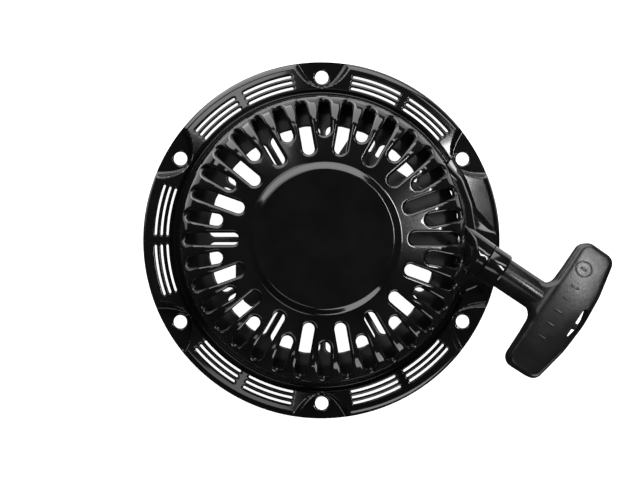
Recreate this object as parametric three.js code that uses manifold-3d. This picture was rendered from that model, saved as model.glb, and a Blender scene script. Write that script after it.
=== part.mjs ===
// Recoil starter for a 390-class horizontal-shaft engine.
// Frame: millimetres, +Z is the reel axis and points out of the dome, z = 0 is the engine's mounting plane.
// The rope leaves level with the reel's groove, along DRAW, which lies 33.7 degrees below +X.
import * as THREE from "three";
import { ConvexGeometry } from "three/addons/geometries/ConvexGeometry.js";
import { mergeVertices } from "three/addons/utils/BufferGeometryUtils.js";
import Module from "manifold-3d";

const wasm = await Module();
wasm.setup();

// ---- Driving dimensions ----------------------------------------------------------------------
const GAP = 0.3; // clearance between pieces that touch
const SHEET = 1.6; // housing and guard sheet

const FLANGE_R = 116;
const FLANGE_SEGMENTS = 48;
const HOUSING_H = 62;
const DISC_R = 42.5; // raised plain disc on top
const WALL_R = 90.2; // bowl side wall, outside, below the shoulder

const BOLT_R = 106; // bolt circle radius
const BOLT_COUNT = 6;
const BOLT_HOLE_R = 4.3;

const SLOT_COUNT = 36; // radial cooling slots, long and short in turn
const SLOT_W = 7.3;
const SLOT_OUT_R = 88.4;
const SLOT_LONG_R = 53;
const SLOT_SHORT_R = 64;
const SLOT_LOW_Z = 39;

const RIM_ROWS = [99.7, 103.5, 107.3]; // rows of arc slots in the flange
const RIM_SLOT_W = 1.4;
const RIM_GROUPS = [
  [10.7, 28.3],
  [31.7, 49.3],
]; // degrees past a bolt hole
const OUTLET_SECTOR = 1; // the flange sector without arc slots, counted clockwise from +Y

const ROPE_R = 2.3;
const ROPE_Z = 38;
const ROPE_OFFSET = 45; // from the reel axis to the rope's straight run
const DRAW_ANGLE = THREE.MathUtils.degToRad(-33.7);
const BOSS_END = 105.3; // along the run, from the point nearest the reel axis
const BOSS_START = 92.6;
const BOSS_R = 12;
const BOSS_SPIGOT_R = 9; // the boss's shank in the spout
const BOSS_BORE_R = 6;
const GRIP_CENTRE = 148.5;

const GRIP_HALF = 46.2;
const GRIP_THICK = 24;
const STEM_R = 10.1;
const KNOT_R = 4.0;
const KNOT_AT = -0.8; // the knot's centre, outwards from the middle of the bar
const KNOT_IN_REEL_R = 20.8; // the inner knot's centre, from the reel axis

const POST_R = 7;
const SCREW_R = 2.9;
const DRUM_R = 28.5;
const REEL_R = 51;
const GROOVE_HALF = 5.2;
const REEL_WALL = 2.2;
const CAVITY_R = 26;

const PAWL_PIVOT_R = 29;
const PAWL_Z = 22.4;
const PAWL_T = 4.8;
const PAWL_POST_R = 3.9;
const GUIDE_Z = 19.4;
const GUIDE_T = 1.6;
const GUIDE_BORE_R = 4.6;
const GUIDE_TURN = 25; // degrees that the guide lags behind the reel
const PAWL_PER_GUIDE = 1.1; // pawl swing for each degree of guide lag
const PAWL_PIN = new THREE.Vector2(-5, -12.5); // drive pin, from the pawl's pivot

// ---- Directions and materials ----------------------------------------------------------------
const DRAW = new THREE.Vector3(Math.cos(DRAW_ANGLE), Math.sin(DRAW_ANGLE), 0);
const SIDE = new THREE.Vector3(-DRAW.y, DRAW.x, 0); // from the reel axis to the run
const UP = new THREE.Vector3(0, 0, 1);

function material(color, roughness, metalness) {
  return new THREE.MeshStandardMaterial({ color, roughness, metalness });
}
const glossPaint = material(0x0b0b0c, 0.12, 0.2);
const moulded = material(0x18191b, 0.4, 0.0);
const nylon = material(0x1d1e20, 0.5, 0.0);
const zinc = material(0xb8bcc0, 0.35, 0.9);
const springSteel = material(0x5b6068, 0.3, 0.9);
const ropeFibre = material(0x2b2a28, 0.85, 0.0);

// ---- Solids ----------------------------------------------------------------------------------
// A closed geometry as a manifold solid, turned outwards if its faces point in.
function solid(geometry) {
  const bare = geometry.index ? geometry.toNonIndexed() : geometry.clone();
  for (const name of Object.keys(bare.attributes)) {
    if (name !== "position") bare.deleteAttribute(name);
  }
  const merged = mergeVertices(bare, 1e-4);
  const vertProperties = merged.attributes.position.array;
  const triVerts = new Uint32Array(merged.index.array);
  const made = new wasm.Manifold(new wasm.Mesh({ numProp: 3, vertProperties, triVerts }));
  if (made.volume() > 0) return made;
  const turned = triVerts.slice();
  for (let i = 0; i < turned.length; i += 3) {
    turned[i + 1] = triVerts[i + 2];
    turned[i + 2] = triVerts[i + 1];
  }
  return new wasm.Manifold(new wasm.Mesh({ numProp: 3, vertProperties, triVerts: turned }));
}

function joined(solids) {
  return solids.reduce((all, one) => all.add(one));
}

function cut(body, tools) {
  return tools.length ? body.subtract(joined(tools)) : body;
}

function geometryOf(body) {
  const mesh = body.getMesh();
  const positions = new Float32Array(mesh.numVert * 3);
  for (let i = 0; i < mesh.numVert; i++) {
    const at = i * mesh.numProp;
    positions.set(mesh.vertProperties.subarray(at, at + 3), i * 3);
  }
  const geometry = new THREE.BufferGeometry();
  geometry.setAttribute("position", new THREE.BufferAttribute(positions, 3));
  geometry.setIndex(new THREE.BufferAttribute(new Uint32Array(mesh.triVerts), 1));
  geometry.computeVertexNormals();
  return geometry;
}

// A turned solid about +Z from [radius, height] points that close on the axis or on themselves.
function turned(profile, segments = 48) {
  const points = profile.map(([r, z]) => new THREE.Vector2(r, z));
  const onAxis = profile[0][0] === 0 && profile.at(-1)[0] === 0;
  if (!onAxis) points.push(points[0].clone());
  const geometry = new THREE.LatheGeometry(points, segments);
  geometry.rotateX(Math.PI / 2);
  return solid(geometry);
}

function disc(r, z0, z1, segments = 48) {
  return turned([[0, z0], [r, z0], [r, z1], [0, z1]], segments);
}

function ring(r0, r1, z0, z1, segments = 48) {
  return turned([[r0, z0], [r1, z0], [r1, z1], [r0, z1]], segments);
}

// A flat shape in XY, raised from z0 to z1.
function prism(shape, z0, z1, curveSegments = 6) {
  const geometry = new THREE.ExtrudeGeometry(shape, {
    depth: z1 - z0,
    bevelEnabled: false,
    curveSegments,
  });
  geometry.translate(0, 0, z0);
  return solid(geometry);
}

function polygon(points) {
  return new THREE.Shape(points.map(([x, y]) => new THREE.Vector2(x, y)));
}

function hull(points) {
  return solid(new ConvexGeometry(points.map((p) => new THREE.Vector3(...p))));
}

// A solid made about +Z, laid so that +Z runs along DRAW and z = 0 is the run's point nearest the axis.
const ALONG_RUN = new THREE.Matrix4()
  .makeBasis(SIDE, UP, DRAW)
  .setPosition(SIDE.x * ROPE_OFFSET, SIDE.y * ROPE_OFFSET, ROPE_Z);
function alongRun(body) {
  return body.transform(ALONG_RUN.elements);
}

// Clockwise from +Y, in degrees, as a rotation about +Z.
function clockwise(body, degrees) {
  return body.rotate([0, 0, -degrees]);
}

function tube(path, radius, sides, steps) {
  const section = new THREE.Shape();
  for (let i = 0; i < sides; i++) {
    const a = (2 * Math.PI * i) / sides;
    section[i ? "lineTo" : "moveTo"](radius * Math.cos(a), radius * Math.sin(a));
  }
  const geometry = new THREE.ExtrudeGeometry(section, { steps, extrudePath: path, curveSegments: 1 });
  return solid(geometry);
}

// ---- Housing ---------------------------------------------------------------------------------
// Outer face of the pressing, from the rolled rim to the middle of the top.
const OUTER_FACE = [
  [FLANGE_R, 0.4],
  [FLANGE_R - 1.0, 5.0],
  [FLANGE_R - 2.8, 7.0],
  [FLANGE_R - 5.6, 8.3],
  [98.6, 10.0],
  [97.2, 9.2],
  [95.2, 6.6],
  [93.2, 11.0],
  [WALL_R, 38.0],
  [88.2, 44.6],
  [84.2, 50.4],
  [78.6, 54.4],
  [72.0, 56.6],
  [49.0, 58.8],
  [46.2, 59.6],
  [44.4, 61.4],
  [DISC_R, HOUSING_H],
  [0, HOUSING_H],
];

// The same line moved by a distance along its mitred normals, towards the inside of the bowl.
function offsetLine(points, distance) {
  return points.map(([r, z], i) => {
    const before = points[Math.max(i - 1, 0)];
    const after = points[Math.min(i + 1, points.length - 1)];
    const a = new THREE.Vector2(r - before[0], z - before[1]).normalize();
    const b = new THREE.Vector2(after[0] - r, after[1] - z).normalize();
    if (i === 0) a.copy(b);
    if (i === points.length - 1) b.copy(a);
    const normal = new THREE.Vector2(-(a.y + b.y), a.x + b.x).normalize();
    const stretch = distance / Math.max(0.6, normal.dot(new THREE.Vector2(-b.y, b.x)));
    return [Math.max(0, r + normal.x * stretch), z + normal.y * stretch];
  });
}

function bowlBody(line, floor) {
  return turned([[0, floor], [line[0][0], floor], ...line], FLANGE_SEGMENTS);
}

// The sloped pocket that drops the flange to the mounting plane round a bolt hole at 12 o'clock.
function boltPocket(grow, floor) {
  const at = (halfWidth, y, z) => [[-halfWidth, y, z], [halfWidth, y, z]];
  return hull([
    ...at(4.6 + grow, 99.6 - grow, floor),
    ...at(13.8 + grow, FLANGE_R + 3, floor),
    ...at(7.4 + grow, 98.2 - grow, 12),
    ...at(25.5 + grow, FLANGE_R + 3, 12),
  ]);
}

// The bulge that carries the rope outlet: its foot on the flange, and its top edge beside the bowl's shoulder.
const BULGE_FOOT = [
  [86, 52],
  [99.5, 21],
  [112.2, 4.6],
  [113.4, -3.4],
  [108.4, -22],
  [99.5, -31],
  [80, -28],
  [78, 40],
];
const BULGE_TOP = [
  [82, 44],
  [89, 36],
  [93.5, 21],
  [94.5, 0],
  [92.5, -16],
  [88, -26],
  [80, -28],
  [78, 36],
];
const BULGE_H = 42;

function outletBulge(grow, floor) {
  const inset = ([x, y], z) => {
    const r = Math.hypot(x, y);
    return [(x * (r - grow)) / r, (y * (r - grow)) / r, z];
  };
  const foot = BULGE_FOOT.map((point) => inset(point, floor));
  const low = BULGE_FOOT.map((point) => inset(point, 9));
  const top = BULGE_TOP.map((point) => inset(point, BULGE_H - grow));
  return hull([...foot, ...low, ...top]);
}

// Room round the outlet boss, so that the bulge makes a saddle under it.
function bossClearance(grow) {
  return alongRun(disc(BOSS_R + GAP + grow, BOSS_START - GAP - grow, 140, 24));
}

// The drawn spout between the bowl's side wall and the boss, and the hollow inside it.
function outletSpout(inset) {
  const face = BOSS_START - GAP;
  const profile = inset
    ? [[0, 50], [12.6, 50], [12.2, 78], [10.4, face - inset], [BOSS_SPIGOT_R + GAP, face - inset]]
    : [[0, 62], [14.6, 62], [14.2, 80], [12.6, face]];
  const end = inset ? [[BOSS_SPIGOT_R + GAP, face + 6], [0, face + 6]] : [[0, face]];
  return alongRun(turned([...profile, ...end], 20));
}

function slotTool(innerR, outerR, width, z0, z1) {
  const half = width / 2;
  const shape = new THREE.Shape();
  shape.moveTo(-half, innerR + half);
  shape.absarc(0, innerR + half, half, Math.PI, 2 * Math.PI, false);
  shape.lineTo(half, outerR - half);
  shape.absarc(0, outerR - half, half, 0, Math.PI, false);
  return prism(shape, z0, z1, 2);
}

function arcSlot(radius, width, fromDegrees, toDegrees) {
  const steps = 2;
  const points = [];
  for (const [r, up] of [[radius - width / 2, true], [radius + width / 2, false]]) {
    for (let i = 0; i <= steps; i++) {
      const t = up ? i / steps : 1 - i / steps;
      const a = THREE.MathUtils.degToRad(90 - fromDegrees - (toDegrees - fromDegrees) * t);
      points.push([r * Math.cos(a), r * Math.sin(a)]);
    }
  }
  return prism(polygon(points), -2, 14);
}

function housing() {
  const innerFace = offsetLine(OUTER_FACE, SHEET);
  innerFace[0] = [innerFace[0][0], -1];
  let outer = bowlBody(OUTER_FACE, 0);
  let inner = bowlBody(innerFace, -2);

  const pockets = [];
  const pocketBacks = [];
  for (let i = 0; i < BOLT_COUNT; i++) {
    pockets.push(clockwise(boltPocket(0, SHEET), i * 60));
    pocketBacks.push(clockwise(boltPocket(SHEET, -3), i * 60));
  }
  outer = cut(outer, pockets);
  inner = cut(inner, pocketBacks);

  outer = joined([outer, outletBulge(0, 1).subtract(bossClearance(0)), outletSpout(0)]);
  inner = joined([inner, outletBulge(SHEET, -2).subtract(bossClearance(SHEET)), outletSpout(SHEET)]);

  const tools = [];
  for (let i = 0; i < SLOT_COUNT; i++) {
    const innerR = i % 2 ? SLOT_LONG_R : SLOT_SHORT_R;
    const tool = slotTool(innerR, SLOT_OUT_R, SLOT_W, SLOT_LOW_Z, 66);
    tools.push(clockwise(tool, i * (360 / SLOT_COUNT)));
  }
  for (let sector = 0; sector < BOLT_COUNT; sector++) {
    tools.push(clockwise(disc(BOLT_HOLE_R, -3, 8, 16).translate([0, BOLT_R, 0]), sector * 60));
    if (sector === OUTLET_SECTOR) continue;
    for (const [from, to] of RIM_GROUPS) {
      for (const r of RIM_ROWS) tools.push(clockwise(arcSlot(r, RIM_SLOT_W, from, to), sector * 60));
    }
  }
  return cut(outer.subtract(inner), tools);
}

// ---- Rope outlet -----------------------------------------------------------------------------
function ropeOutlet() {
  return alongRun(
    turned(
      [
        [BOSS_BORE_R, BOSS_START - 9],
        [BOSS_SPIGOT_R, BOSS_START - 9],
        [BOSS_SPIGOT_R, BOSS_START],
        [BOSS_R, BOSS_START],
        [BOSS_R, BOSS_END - 1.4],
        [BOSS_R - 1.2, BOSS_END],
        [STEM_R + 0.6, BOSS_END],
        [STEM_R + 0.6, BOSS_END - 2.4],
        [BOSS_BORE_R, BOSS_END - 2.4],
      ],
      24,
    ),
  );
}

function outletBush() {
  return alongRun(
    turned(
      [
        [3.3, BOSS_START - 8],
        [3.9, BOSS_START - 11],
        [5.4, BOSS_START - 13],
        [7.6, BOSS_START - 13.4],
        [8.2, BOSS_START - 12],
        [8.2, BOSS_START - 9 - GAP],
        [BOSS_BORE_R - GAP, BOSS_START - 9 - GAP],
        [BOSS_BORE_R - GAP, BOSS_END - 3],
        [3.9, BOSS_END - 3],
        [3.3, BOSS_END - 4.5],
      ],
      16,
    ),
  );
}

// ---- Inner guard -----------------------------------------------------------------------------
const GUARD_Z = 24;
const GUARD_OPEN_R = 47.5; // opening for the engine's starter cup
const GUARD_WINDOW = [52, 72];
const GUARD_R = 88.6;
const RIB_W = 3.8;

function guardWindow() {
  const [r0, r1] = GUARD_WINDOW;
  const half = RIB_W / 2;
  const shape = new THREE.Shape();
  const corner = (r, side) => [side * (r * Math.sin(Math.PI / 12) - half), r * Math.cos(Math.PI / 12)];
  const [ax, ay] = corner(r0, -1);
  const [bx, by] = corner(r1 - 3, -1);
  shape.moveTo(ax, ay);
  shape.lineTo(bx, by);
  shape.quadraticCurveTo(bx - 0.4, r1 - 1.2, bx + 3, r1 + 0.2);
  shape.quadraticCurveTo(0, r1 + 0.6, -bx - 3, r1 + 0.2);
  shape.quadraticCurveTo(-bx + 0.4, r1 - 1.2, -bx, by);
  shape.lineTo(-ax, ay);
  shape.quadraticCurveTo(0, r0 + 2.4, ax, ay);
  return prism(shape, GUARD_Z - 6, GUARD_Z + 6, 3);
}

function innerGuard() {
  const plate = turned(
    [
      [GUARD_OPEN_R, GUARD_Z - 3],
      [GUARD_OPEN_R + SHEET, GUARD_Z - 3],
      [GUARD_OPEN_R + SHEET, GUARD_Z],
      [80, GUARD_Z],
      [GUARD_R, GUARD_Z - 5],
      [GUARD_R, GUARD_Z - 5 + SHEET],
      [81, GUARD_Z + SHEET],
      [GUARD_OPEN_R, GUARD_Z + SHEET],
    ],
    FLANGE_SEGMENTS,
  );
  // Solid lands in the windows: one under the rope's run, one opposite it.
  const runPoint = (offset, along) => [
    SIDE.x * offset + DRAW.x * along,
    SIDE.y * offset + DRAW.y * along,
  ];
  const runLand = polygon([
    runPoint(21, 0),
    runPoint(21, 90),
    runPoint(63, 90),
    runPoint(63, -22),
    runPoint(40, -22),
  ]);
  const backLand = polygon([
    [-40, -8],
    [-55.5, -12],
    [-55.5, -30],
    [-50, -39.5],
    [-45.5, -43],
    [-34, -38],
  ]);
  const lands = joined([runLand, backLand].map((shape) => prism(shape, GUARD_Z - 7, GUARD_Z + 7)));
  const windows = [];
  for (let i = 0; i < 12; i++) windows.push(clockwise(guardWindow(), 15 + i * 30));
  return plate.subtract(joined(windows).subtract(lands));
}

// ---- Reel post, spring and reel --------------------------------------------------------------
const TOP_INSIDE = HOUSING_H - SHEET;
const REEL_LOW = ROPE_Z - GROOVE_HALF - REEL_WALL;
const REEL_HIGH = ROPE_Z + GROOVE_HALF + REEL_WALL;
const WEB_HIGH = ROPE_Z + GROOVE_HALF;
const WEB_LOW = WEB_HIGH - 2.2;
const HUB_LOW = 21.6;
const SPRING_Z = [WEB_HIGH + 1, 56.2];
const PIN_SPIGOT_R = 2;
const PIN_TOP = REEL_LOW + 1.4;

function reelPost() {
  const body = turned(
    [
      [0, HUB_LOW + 0.6],
      [POST_R - 0.6, HUB_LOW + 0.6],
      [POST_R, HUB_LOW + 1.4],
      [POST_R, TOP_INSIDE - 3.0],
      [17, TOP_INSIDE - 2.0],
      [17, TOP_INSIDE - GAP],
      [0, TOP_INSIDE - GAP],
    ],
    28,
  );
  const bore = disc(SCREW_R + 0.25, 10, 50, 24);
  const notch = prism(
    polygon([[POST_R - 2.2, -1.3], [POST_R + 3, -1.3], [POST_R + 3, 0.4], [POST_R - 2.2, 0.4]]),
    SPRING_Z[0] - 1,
    SPRING_Z[1] + 0.6,
  );
  return cut(body, [bore, notch]);
}

function mainspring() {
  const turns = 6;
  const perTurn = 16;
  const thick = 0.7;
  const rIn = POST_R + 1.6;
  const rOut = CAVITY_R - 1.4;
  const inside = [];
  const outside = [];
  for (let i = 0; i <= turns * perTurn; i++) {
    const t = i / (turns * perTurn);
    const a = 2 * Math.PI * turns * t;
    const r = rIn + (rOut - rIn) * t;
    inside.push([(r - thick / 2) * Math.cos(a), (r - thick / 2) * Math.sin(a)]);
    outside.push([(r + thick / 2) * Math.cos(a), (r + thick / 2) * Math.sin(a)]);
  }
  const tail = [[POST_R - 1.4, -0.1], [POST_R - 1.4, -0.8]];
  return prism(polygon([...outside, ...inside.reverse(), ...tail]), SPRING_Z[0], SPRING_Z[1]);
}

function reel() {
  const section = [
    [POST_R + 0.35, HUB_LOW],
    [12, HUB_LOW],
    [12.8, WEB_LOW],
    [CAVITY_R - 0.6, WEB_LOW],
    [CAVITY_R - 0.6, REEL_LOW],
    [REEL_R - 0.6, REEL_LOW],
    [REEL_R, REEL_LOW + 0.6],
    [REEL_R, ROPE_Z - GROOVE_HALF],
    [DRUM_R, ROPE_Z - GROOVE_HALF + 0.3],
    [DRUM_R, ROPE_Z + GROOVE_HALF - 0.3],
    [REEL_R, ROPE_Z + GROOVE_HALF],
    [REEL_R, REEL_HIGH - 0.6],
    [REEL_R - 0.6, REEL_HIGH],
    [DRUM_R + 0.6, REEL_HIGH],
    [DRUM_R, 57],
    [CAVITY_R, 57],
    [CAVITY_R, WEB_HIGH],
    [POST_R + 0.35, WEB_HIGH],
  ];
  const body = turned(section, 40);
  const extras = [];
  for (let i = 0; i < 6; i++) {
    const outline = polygon([[11.5, -1], [CAVITY_R, -1], [CAVITY_R, 1], [11.5, 1]]);
    const rib = prism(outline, REEL_LOW + 1, WEB_LOW + 0.5);
    extras.push(rib.rotate([0, 0, 30 + i * 60]));
  }
  const pinHole = disc(PIN_SPIGOT_R + GAP, REEL_LOW - 1, PIN_TOP + GAP, 16).translate([PAWL_PIVOT_R, 0, 0]);
  const ropeHole = atReelKnot(disc(ROPE_R + 0.2, 0, DRUM_R - KNOT_IN_REEL_R + 2, 16));
  return cut(joined([body, ...extras]), [pinHole, pinHole.rotate([0, 0, 180]), ropeHole]);
}

// A solid made about +Z at the knot inside the reel's hub, with +Z pointing out through the drum.
function atReelKnot(body) {
  return body.rotate([0, 90, 0]).translate([KNOT_IN_REEL_R, 0, ROPE_Z - 1.5]).rotate([0, 0, 60]);
}

// The rope's inner end: its tail through the drum and the knot that holds it.
function reelKnot() {
  const knot = solid(new THREE.SphereGeometry(3.4, 12, 8));
  return atReelKnot(joined([knot, disc(ROPE_R - 0.3, 0, DRUM_R - KNOT_IN_REEL_R, 12)]));
}

function ropeWinding() {
  const r = ROPE_OFFSET - ROPE_R - GAP;
  const half = GROOVE_HALF - 0.7;
  return turned(
    [
      [DRUM_R + GAP, ROPE_Z - half],
      [r - 1, ROPE_Z - half],
      [r, ROPE_Z - half + 1],
      [r, ROPE_Z + half - 1],
      [r - 1, ROPE_Z + half],
      [DRUM_R + GAP, ROPE_Z + half],
    ],
    36,
  );
}

// The last turn on the reel, then the straight run through the outlet into the grip's knot pocket.
function ropeRun() {
  const startAngle = Math.atan2(SIDE.y, SIDE.x);
  const arcPoints = [];
  const arcSteps = 16;
  for (let i = arcSteps; i > 0; i--) {
    const a = startAngle + (Math.PI * 0.9 * i) / arcSteps;
    arcPoints.push(new THREE.Vector3(ROPE_OFFSET * Math.cos(a), ROPE_OFFSET * Math.sin(a), ROPE_Z));
  }
  const along = (s) =>
    new THREE.Vector3(
      SIDE.x * ROPE_OFFSET + DRAW.x * s,
      SIDE.y * ROPE_OFFSET + DRAW.y * s,
      ROPE_Z,
    );
  const straight = [0, 12, 24, 36, 48, 60, 72, 84, 96, 108, 120, 132, GRIP_CENTRE + KNOT_AT - KNOT_R - GAP];
  const curve = new THREE.CatmullRomCurve3([...arcPoints, ...straight.map(along)]);
  return tube(curve, ROPE_R, 8, 40);
}

// ---- Ratchets --------------------------------------------------------------------------------
// The pin that a ratchet turns on, with a spigot in the reel's lower flange.
function ratchetPin() {
  return turned(
    [
      [0, HUB_LOW + 0.2],
      [PAWL_POST_R - 0.4, HUB_LOW + 0.2],
      [PAWL_POST_R, HUB_LOW + 0.6],
      [PAWL_POST_R, REEL_LOW - GAP],
      [PIN_SPIGOT_R, REEL_LOW - GAP],
      [PIN_SPIGOT_R, PIN_TOP],
      [0, PIN_TOP],
    ],
    24,
  );
}

function pawl() {
  const shape = new THREE.Shape();
  shape.absarc(0, 0, 6.4, Math.PI * 0.12, Math.PI * 1.02, false);
  shape.lineTo(-9.0, -10);
  shape.lineTo(-9.6, -17);
  shape.lineTo(-7.4, -22.6);
  shape.lineTo(-3.4, -24.4);
  shape.lineTo(-1.4, -19.0);
  shape.lineTo(0.4, -9.0);
  shape.lineTo(6.0, -2.4);
  const plate = prism(shape, PAWL_Z, PAWL_Z + PAWL_T, 5);
  const pin = disc(1.6, GUIDE_Z + 0.2, PAWL_Z + 0.5, 12).translate([PAWL_PIN.x, PAWL_PIN.y, 0]);
  return plate.subtract(disc(PAWL_POST_R + 0.25, 0, 60, 24)).add(pin);
}

function pawlSpring() {
  const points = [];
  const turns = 2.5;
  const z0 = PAWL_Z + PAWL_T + 0.75;
  const steps = 24;
  for (let i = 0; i <= steps; i++) {
    const a = (2 * Math.PI * turns * i) / steps;
    points.push(new THREE.Vector3(5.2 * Math.cos(a), 5.2 * Math.sin(a), z0 + (2.2 * i) / steps));
  }
  const end = points.at(-1);
  points.push(new THREE.Vector3(end.x - 3, end.y + 4, end.z));
  return tube(new THREE.CatmullRomCurve3(points), 0.4, 5, 30);
}

// The drive pin's path in the guide's own frame as the guide lags behind the reel.
function pinPath(steps) {
  const pivot = new THREE.Vector2(PAWL_PIVOT_R, 0);
  const points = [];
  for (let i = 0; i <= steps; i++) {
    const lag = THREE.MathUtils.degToRad((GUIDE_TURN * i) / steps);
    const pin = PAWL_PIN.clone().rotateAround(new THREE.Vector2(), lag * PAWL_PER_GUIDE).add(pivot);
    points.push(pin.rotateAround(new THREE.Vector2(), -lag));
  }
  return points;
}

// The outline of a round-ended slot between two points.
function capsule(from, to, r) {
  const heading = Math.atan2(to.y - from.y, to.x - from.x);
  const shape = new THREE.Shape();
  shape.absarc(to.x, to.y, r, heading - Math.PI / 2, heading + Math.PI / 2, false);
  shape.absarc(from.x, from.y, r, heading + Math.PI / 2, heading + 1.5 * Math.PI, false);
  return shape;
}

function ratchetGuide() {
  const blank = new THREE.Shape();
  blank.absarc(0, 0, 14.5, 0.6, Math.PI - 1.5, false);
  blank.absarc(0, 0, 33.5, Math.PI - 1.35, Math.PI + 0.15, false);
  blank.absarc(0, 0, 14.5, Math.PI + 0.6, 2 * Math.PI - 1.5, false);
  blank.absarc(0, 0, 33.5, 2 * Math.PI - 1.35, 2 * Math.PI + 0.15, false);
  let plate = prism(blank, GUIDE_Z, GUIDE_Z + GUIDE_T, 10);
  plate = plate.subtract(disc(GUIDE_BORE_R, 0, 60, 24));
  const path = pinPath(4);
  for (let side = 0; side < 2; side++) {
    for (let i = 1; i < path.length; i++) {
      const step = prism(capsule(path[i - 1], path[i], 1.95), GUIDE_Z - 2, GUIDE_Z + 4, 4);
      plate = plate.subtract(step.rotate([0, 0, side * 180]));
    }
  }
  return plate;
}

function frictionSpring() {
  const points = [];
  const r = 10.6;
  const z = GUIDE_Z - 1.25;
  for (let i = 0; i <= 20; i++) {
    const a = THREE.MathUtils.degToRad(25 + (310 * i) / 20);
    points.push(new THREE.Vector3(r * Math.cos(a), r * Math.sin(a), z));
  }
  points.unshift(new THREE.Vector3(14, 2.2, z));
  points.push(new THREE.Vector3(14, -2.2, z));
  return tube(new THREE.CatmullRomCurve3(points), 0.8, 6, 26);
}

function thrustWasher() {
  return ring(SCREW_R + 0.3, 9.3, GUIDE_Z - 2.2, GUIDE_Z - GAP, 32);
}

function centreScrew() {
  const top = GUIDE_Z - 2.2 - GAP;
  const hex = [];
  for (let i = 0; i < 6; i++) {
    const a = (Math.PI * i) / 3;
    hex.push([5.8 * Math.cos(a), 5.8 * Math.sin(a)]);
  }
  const head = prism(polygon(hex), top - 4.6, top - 1);
  const collar = disc(7.6, top - 1.3, top, 24);
  const shank = disc(SCREW_R, top - 0.5, 46, 24);
  return joined([head, collar, shank]);
}

// ---- Grip ------------------------------------------------------------------------------------
// The bar's outline: x runs outwards along the draw, y across it.
function gripOutline(inset) {
  const half = GRIP_HALF - inset;
  const inner = -12.6 + inset;
  const outer = 10.6 - inset;
  const shape = new THREE.Shape();
  shape.moveTo(inner, half - 6);
  shape.quadraticCurveTo(inner, half, inner + 6.5, half);
  shape.lineTo(outer - 3, half);
  shape.quadraticCurveTo(outer + 0.9, half + 0.1, outer + 1.5, half - 3);
  shape.quadraticCurveTo(outer + 11.3, 0, outer + 1.5, -half + 3);
  shape.quadraticCurveTo(outer + 0.9, -half - 0.1, outer - 3, -half);
  shape.lineTo(inner + 6.5, -half);
  shape.quadraticCurveTo(inner, -half, inner, -half + 6);
  shape.lineTo(inner - 0.4, -24);
  shape.quadraticCurveTo(inner - 1.5, -STEM_R - 1, inner - 11, -STEM_R + 1.4);
  shape.lineTo(inner - 11, STEM_R - 1.4);
  shape.quadraticCurveTo(inner - 1.5, STEM_R + 1, inner - 0.4, 24);
  return shape;
}

// The run's frame with x along the draw, y across it and z up, centred on the grip's bar.
const GRIP_FRAME = new THREE.Matrix4()
  .makeBasis(DRAW, SIDE, UP)
  .setPosition(
    SIDE.x * ROPE_OFFSET + DRAW.x * GRIP_CENTRE,
    SIDE.y * ROPE_OFFSET + DRAW.y * GRIP_CENTRE,
    ROPE_Z,
  );
function atGrip(body) {
  return body.transform(GRIP_FRAME.elements);
}

function gripSlab(inset, half) {
  const bevel = 3.5;
  const geometry = new THREE.ExtrudeGeometry(gripOutline(inset + bevel), {
    depth: 2 * (half - bevel),
    bevelEnabled: true,
    bevelThickness: bevel,
    bevelSize: bevel,
    bevelSegments: 2,
    curveSegments: 6,
  });
  geometry.translate(0, 0, bevel - half);
  return solid(geometry);
}

// Knot pocket: a slot through the bar near its outer side, and a nest for the knot, open below.
const POCKET_X = 11.6;
const POCKET_Y = [-11.5, 9.5];
const NEST = { x0: -5.2, x1: POCKET_X + 0.2, halfY: 5.2, top: 6 };

function grip() {
  const bar = atGrip(gripSlab(0, GRIP_THICK / 2));
  const stem = alongRun(
    turned(
      [
        [0, BOSS_END - 2],
        [STEM_R - 1, BOSS_END - 2],
        [STEM_R, BOSS_END - 1],
        [STEM_R, GRIP_CENTRE - 10],
        [0, GRIP_CENTRE - 10],
      ],
      32,
    ),
  );
  const bore = alongRun(disc(ROPE_R + 0.9, 90, GRIP_CENTRE - 4, 16));
  const [y0, y1] = POCKET_Y;
  const slot = new THREE.Shape();
  slot.moveTo(POCKET_X, y0);
  slot.lineTo(POCKET_X + 2.2, y0);
  slot.quadraticCurveTo(POCKET_X + 4.2, (y0 + y1) / 2, POCKET_X + 2.2, y1);
  slot.lineTo(POCKET_X, y1);
  const nest = polygon([
    [NEST.x0, -NEST.halfY],
    [NEST.x1, -NEST.halfY],
    [NEST.x1, NEST.halfY],
    [NEST.x0, NEST.halfY],
  ]);
  const tools = [prism(slot, -30, 30, 4), prism(nest, -30, NEST.top)].map(atGrip);
  return cut(joined([bar, stem]), [bore, ...tools]);
}

// The insert behind the knot: a plug that fills the nest, with a bar across the slot.
function gripRetainer() {
  const x0 = KNOT_AT + KNOT_R + GAP;
  const halfY = NEST.halfY - GAP;
  const plugOutline = polygon([[x0, -halfY], [11.2, -halfY], [11.2, halfY], [x0, halfY]]);
  const barOutline = polygon([[11, -4.9], [14.6, -4.9], [14.6, -1.1], [11, -1.1]]);
  const plug = prism(plugOutline, -8, NEST.top - GAP);
  const bar = prism(barOutline, -9, NEST.top - GAP);
  return atGrip(joined([plug, bar]));
}

function gripKnot() {
  return solid(new THREE.SphereGeometry(KNOT_R, 12, 8)).translate([0, 0, GRIP_CENTRE + KNOT_AT]);
}

// ---- Assembly --------------------------------------------------------------------------------
const starter = new THREE.Group();
starter.name = "recoil_starter";

function place(name, body, finish, turn = 0) {
  const mesh = new THREE.Mesh(geometryOf(body), finish);
  mesh.name = name;
  mesh.rotation.z = turn;
  starter.add(mesh);
  return mesh;
}

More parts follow.
